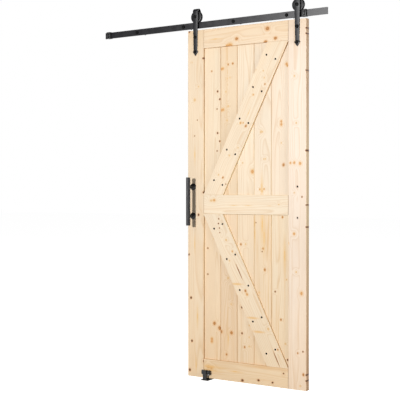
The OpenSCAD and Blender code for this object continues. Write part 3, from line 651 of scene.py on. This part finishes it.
def makeStrap(side):
    low, high = (Vector(c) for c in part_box(side + "_hanger_strap"))
    half = mm(strapShape["thick"]) / 2
    yFront, yRear = low.y + half, high.y - half
    bendR = (yRear - yFront) / 2
    bendZ = high.z - half - bendR
    barbZ = low.z + mm(strapShape["arrowDrop"])
    wide, neck, arrow = (mm(strapShape[key]) for key in ("wide", "neck", "arrow"))
    stations = [(yFront, low.z, mm(strapShape["tip"])), (yFront, barbZ, arrow),
                (yFront, barbZ + mm(strapShape["neckRise"]), neck),
                (yFront, middleOf(side + "_axle_bolt").z, wide)]
    for i in range(strapShape["bendSteps"] + 1):
        turn = math.pi * i / strapShape["bendSteps"]
        stations.append(((yFront + yRear) / 2 - bendR * math.cos(turn),
                         bendZ + bendR * math.sin(turn), wide))
    stations.append((yRear, railTop + mm(strapShape["legGap"]), wide))
    x = (low.x + high.x) / 2
    piece = startPoint((x - stations[0][2] / 2, *stations[0][:2]))
    extrudeBy((stations[0][2], 0, 0))
    bpy.ops.mesh.select_all(action="SELECT")
    for before, after in zip(stations, stations[1:]):
        extrudeBy((0, after[0] - before[0], after[1] - before[1]))
        bpy.ops.transform.resize(value=(after[2] / before[2], 1, 1),
                                 center_override=(x, after[0], after[1]))
    tidyMesh()
    thick = piece.modifiers.new("thickness", "SOLIDIFY")
    thick.thickness = mm(strapShape["thick"])
    thick.offset = 0
    thick.use_even_offset = True
    bpy.ops.object.modifier_apply(modifier=thick.name)
    addBevel(piece, strapShape["edge"])
    place([piece], side + "Strap", "door", "strapCoat",
          [side + "_hanger_strap"])


axle = {"head": 6.5, "corner": 11, "rod": 6}


def makeAxle(side):
    name = side + "_axle_bolt"
    middle = middleOf(name)
    front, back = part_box(name)[0][1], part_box(name)[1][1]
    seat = front + mm(axle["head"])
    head = addBevel(hexHead(middle.x, middle.z, front, seat, axle["corner"]), meshing["headEdge"])
    rod = addBevel(shank(middle.x, middle.z, seat - mm(meshing["overlap"]), back, axle["rod"]),
                   meshing["headEdge"])
    place([head, rod], side + "AxleBolt", "door", "fastener", [name])


doorBolt = {"head": 6.5, "corner": 9.8, "shank": 5, "drops": (42, 132)}


def makeDoorBolts():
    front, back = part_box("hanger_bolts")[0][1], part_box("hanger_bolts")[1][1]
    seat = front + mm(doorBolt["head"])
    bolts, nuts, edge = [], [], meshing["headEdge"]
    nutFront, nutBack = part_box("hanger_nuts")[0][1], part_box("hanger_nuts")[1][1]
    for side in ("left", "right"):
        x = middleOf(side + "_hanger_strap").x
        for drop in doorBolt["drops"]:
            z = leafHigh[2] - mm(drop)
            bolts.append(addBevel(hexHead(x, z, front, seat, doorBolt["corner"]), edge))
            bolts.append(addBevel(shank(x, z, seat - mm(meshing["overlap"]), back,
                                        doorBolt["shank"]), edge))
            nuts.append(addBevel(hexHead(x, z, nutFront, nutBack, doorBolt["corner"]), edge))
    place(bolts, "doorBolts", "door", "fastener", ["hanger_bolts"])
    place(nuts, "doorNuts", "door", "fastener", ["hanger_nuts"])


def makeAxleNuts():
    front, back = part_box("axle_nuts")[0][1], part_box("axle_nuts")[1][1]
    nuts = []
    for side in ("left", "right"):
        middle = middleOf(side + "_axle_bolt")
        nut = hexHead(middle.x, middle.z, front, back, axle["corner"])
        nuts.append(addBevel(nut, meshing["headEdge"]))
    place(nuts, "axleNuts", "door", "fastener", ["axle_nuts"])


wheelShape = {"radius": 38, "tread": 32, "half": 10, "groove": 4, "hub": 19, "bearing": 16,
              "lip": 13, "bearingHalf": 6, "dish": 2, "corner": 2.2, "chamfer": 0.7, "ease": 0.4}


def makeWheel(side):
    w = wheelShape
    rim = w["tread"] - w["dish"]
    web = w["half"] - w["dish"]
    outer = w["radius"]
    corner, chamfer, ease = w["corner"], w["chamfer"], w["ease"]
    rear = [(rim, w["half"]), (rim - 2, web), (w["hub"] + 2, web), (w["hub"], w["half"])]
    front = [(radius, -along) for radius, along in reversed(rear)]
    profile = [(w["lip"], -w["half"]), *front,
               (outer - corner, -w["half"]), (outer - chamfer, -w["half"] + chamfer),
               (outer, -w["half"] + corner), (outer, -w["groove"] - 1), (outer - 1, -w["groove"]),
               (w["tread"], -w["groove"] + ease), (w["tread"], w["groove"] - ease),
               (outer - 1, w["groove"]), (outer, w["groove"] + 1), (outer, w["half"] - corner),
               (outer - chamfer, w["half"] - chamfer), (outer - corner, w["half"]),
               *rear, (w["bearing"], w["half"]), (w["bearing"], -w["bearingHalf"]),
               (w["lip"], -w["bearingHalf"]), (w["lip"], -w["half"])]
    piece = lathe(profile, middleOf(side + "_wheel"), "Y", 64)
    place([piece], side + "GroovedWheel", side + "_wheel", "nylon",
          [side + "_wheel"])


lagBolt = {"head": 5.5, "corner": 9.8, "shank": 5, "root": 3.7, "pitch": 4, "valley": 1.6,
           "crest": 2.8, "tip": 0.4, "collar": 2, "tuck": 1.5, "end": 260, "count": 4, "inWall": 60}


def makeLagBolts():
    railLow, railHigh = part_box("track_rail")
    front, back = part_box("rail_bolts")[0][1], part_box("rail_bolts")[1][1]
    seat = front + mm(lagBolt["head"])
    wall = back - mm(lagBolt["inWall"])
    first = railLow[0] + mm(lagBolt["end"])
    step = (railHigh[0] - railLow[0] - 2 * mm(lagBolt["end"])) / (lagBolt["count"] - 1)
    z = (railLow[2] + railHigh[2]) / 2
    turns = int(lagBolt["inWall"] / lagBolt["pitch"]) - 2
    shankR, root, inWall = (lagBolt[key] for key in ("shank", "root", "inWall"))
    thread = [(0, -lagBolt["collar"]), (shankR, -lagBolt["collar"]), (shankR, 0)]
    for i in range(turns):
        start = 1 + i * lagBolt["pitch"]
        thread += [(root, start), (root, start + lagBolt["valley"]),
                   (shankR, start + lagBolt["crest"])]
    thread += [(root, turns * lagBolt["pitch"] + 1), (lagBolt["tip"], inWall), (0, inWall)]
    parts = []
    for i in range(lagBolt["count"]):
        x = first + i * step
        parts.append(addBevel(hexHead(x, z, front, seat, lagBolt["corner"]),
                              meshing["headEdge"]))
        parts.append(shank(x, z, seat - mm(meshing["overlap"]), wall - mm(lagBolt["tuck"]), shankR))
        parts.append(lathe(thread, (x, wall, z), "Y", 24))
    place(parts, "lagBolts", "root", "fastener", ["rail_bolts"])


stopShape = {"slotFront": 9.9, "slotWide": 6.2, "roof": 1.9, "screw": 3.05, "screwPitch": 20}


def makeEndStop(side):
    low, high = (Vector(c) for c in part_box(side + "_end_stop"))
    slotFront = low.y + mm(stopShape["slotFront"])
    slotBack = slotFront + mm(stopShape["slotWide"])
    roof = high.z - mm(stopShape["roof"])
    outline = [(low.y, low.z), (slotFront, low.z), (slotFront, roof), (slotBack, roof),
               (slotBack, low.z), (high.y, low.z), (high.y, high.z), (low.y, high.z)]
    piece = prism([(low.x, y, z) for y, z in outline], high.x - low.x)
    railMiddle = middleOf("track_rail").z
    offset = mm(stopShape["screwPitch"]) / 2
    past = mm(meshing["overlap"])
    cutters = [shank((low.x + high.x) / 2, railMiddle + way * offset, low.y - past,
                     slotFront + past, stopShape["screw"]) for way in (-1, 1)]
    cutHoles(piece, cutters)
    addBevel(piece, meshing["headEdge"])
    place([piece], side + "Stop", "root", "darkCoat", [side + "_end_stop"])


handleShape = {"radius": 13, "cap": 3, "seam": 0.5, "round": 1.5, "chamfer": 0.44,
               "rosette": 21, "rosetteHeight": 12, "post": 8.05}


def makeHandle():
    low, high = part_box("handle_end_caps")
    middle = middleOf("handle_end_caps")
    tall = (high[2] - low[2]) * 1000
    r, cap, seam, ease = (handleShape[key] for key in ("radius", "cap", "seam", "round"))
    chamfer = handleShape["chamfer"]
    half = [(0, 0), (r - ease, 0), (r - chamfer, chamfer), (r, ease), (r, cap),
            (r - seam, cap), (r - seam, cap + seam), (r, cap + seam)]
    profile = half + [(radius, tall - along) for radius, along in reversed(half)]
    bar = lathe(profile, (middle.x, middle.y, low[2]), "Z", 64)
    place([bar], "handleBar", "door", "strapCoat",
          ["handle_bar", "handle_end_caps"])
    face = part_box("handle_rosettes")[1][1]
    r, tall, post = (handleShape[key] for key in ("rosette", "rosetteHeight", "post"))
    dome = [(post, 0), (r, 0), (r, -1.6), (r - 0.8, -3.2), (r - 3.2, -5.9), (r - 6.4, -8.4),
            (r - 9.4, -10.4), (post + 1, -tall), (post, -tall), (post, 0)]
    cups = [lathe(dome, (middle.x, face, middleOf(node).z), "Y")
            for node in ("upper_handle_post", "lower_handle_post")]
    place(cups, "rosettes", "door", "darkCoat", ["handle_rosettes"])


rollerShape = {"radius": 12, "bore": 4.04, "tall": 20, "ease": 2, "chamfer": 0.6}


def makeRoller(name):
    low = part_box(name)[0]
    r, bore, tall, ease = (rollerShape[key] for key in ("radius", "bore", "tall", "ease"))
    chamfer = rollerShape["chamfer"]
    half = [(bore, 0), (r - ease, 0), (r - chamfer, chamfer), (r, ease)]
    profile = half + [(radius, tall - along) for radius, along in reversed(half)] + [(bore, 0)]
    piece = lathe(profile, (middleOf(name).x, middleOf(name).y, low[2]), "Z", 40)
    words = name.split("_")
    place([piece], words[0] + words[1].title() + "GuideRoller", name, "nylon",
          [name])


makeCamera(cameraSetup)
makeStudio(studio)
makeFloor()
print("studio ready")
paintWood()
print("wood painted")
madeFinishes = {name: finishMaterial(name, look) for name, look in finishes.items()}
paintHardware()
print("hardware painted")
for side in ("left", "right"):
    makeStrap(side)
    makeAxle(side)
    makeWheel(side)
    makeEndStop(side)
makeDoorBolts()
makeAxleNuts()
makeLagBolts()
print("hangers and rail hardware modelled")
makeHandle()
for name in ("front_left_roller", "front_right_roller", "rear_left_roller", "rear_right_roller"):
    makeRoller(name)
print("handle and guide modelled")
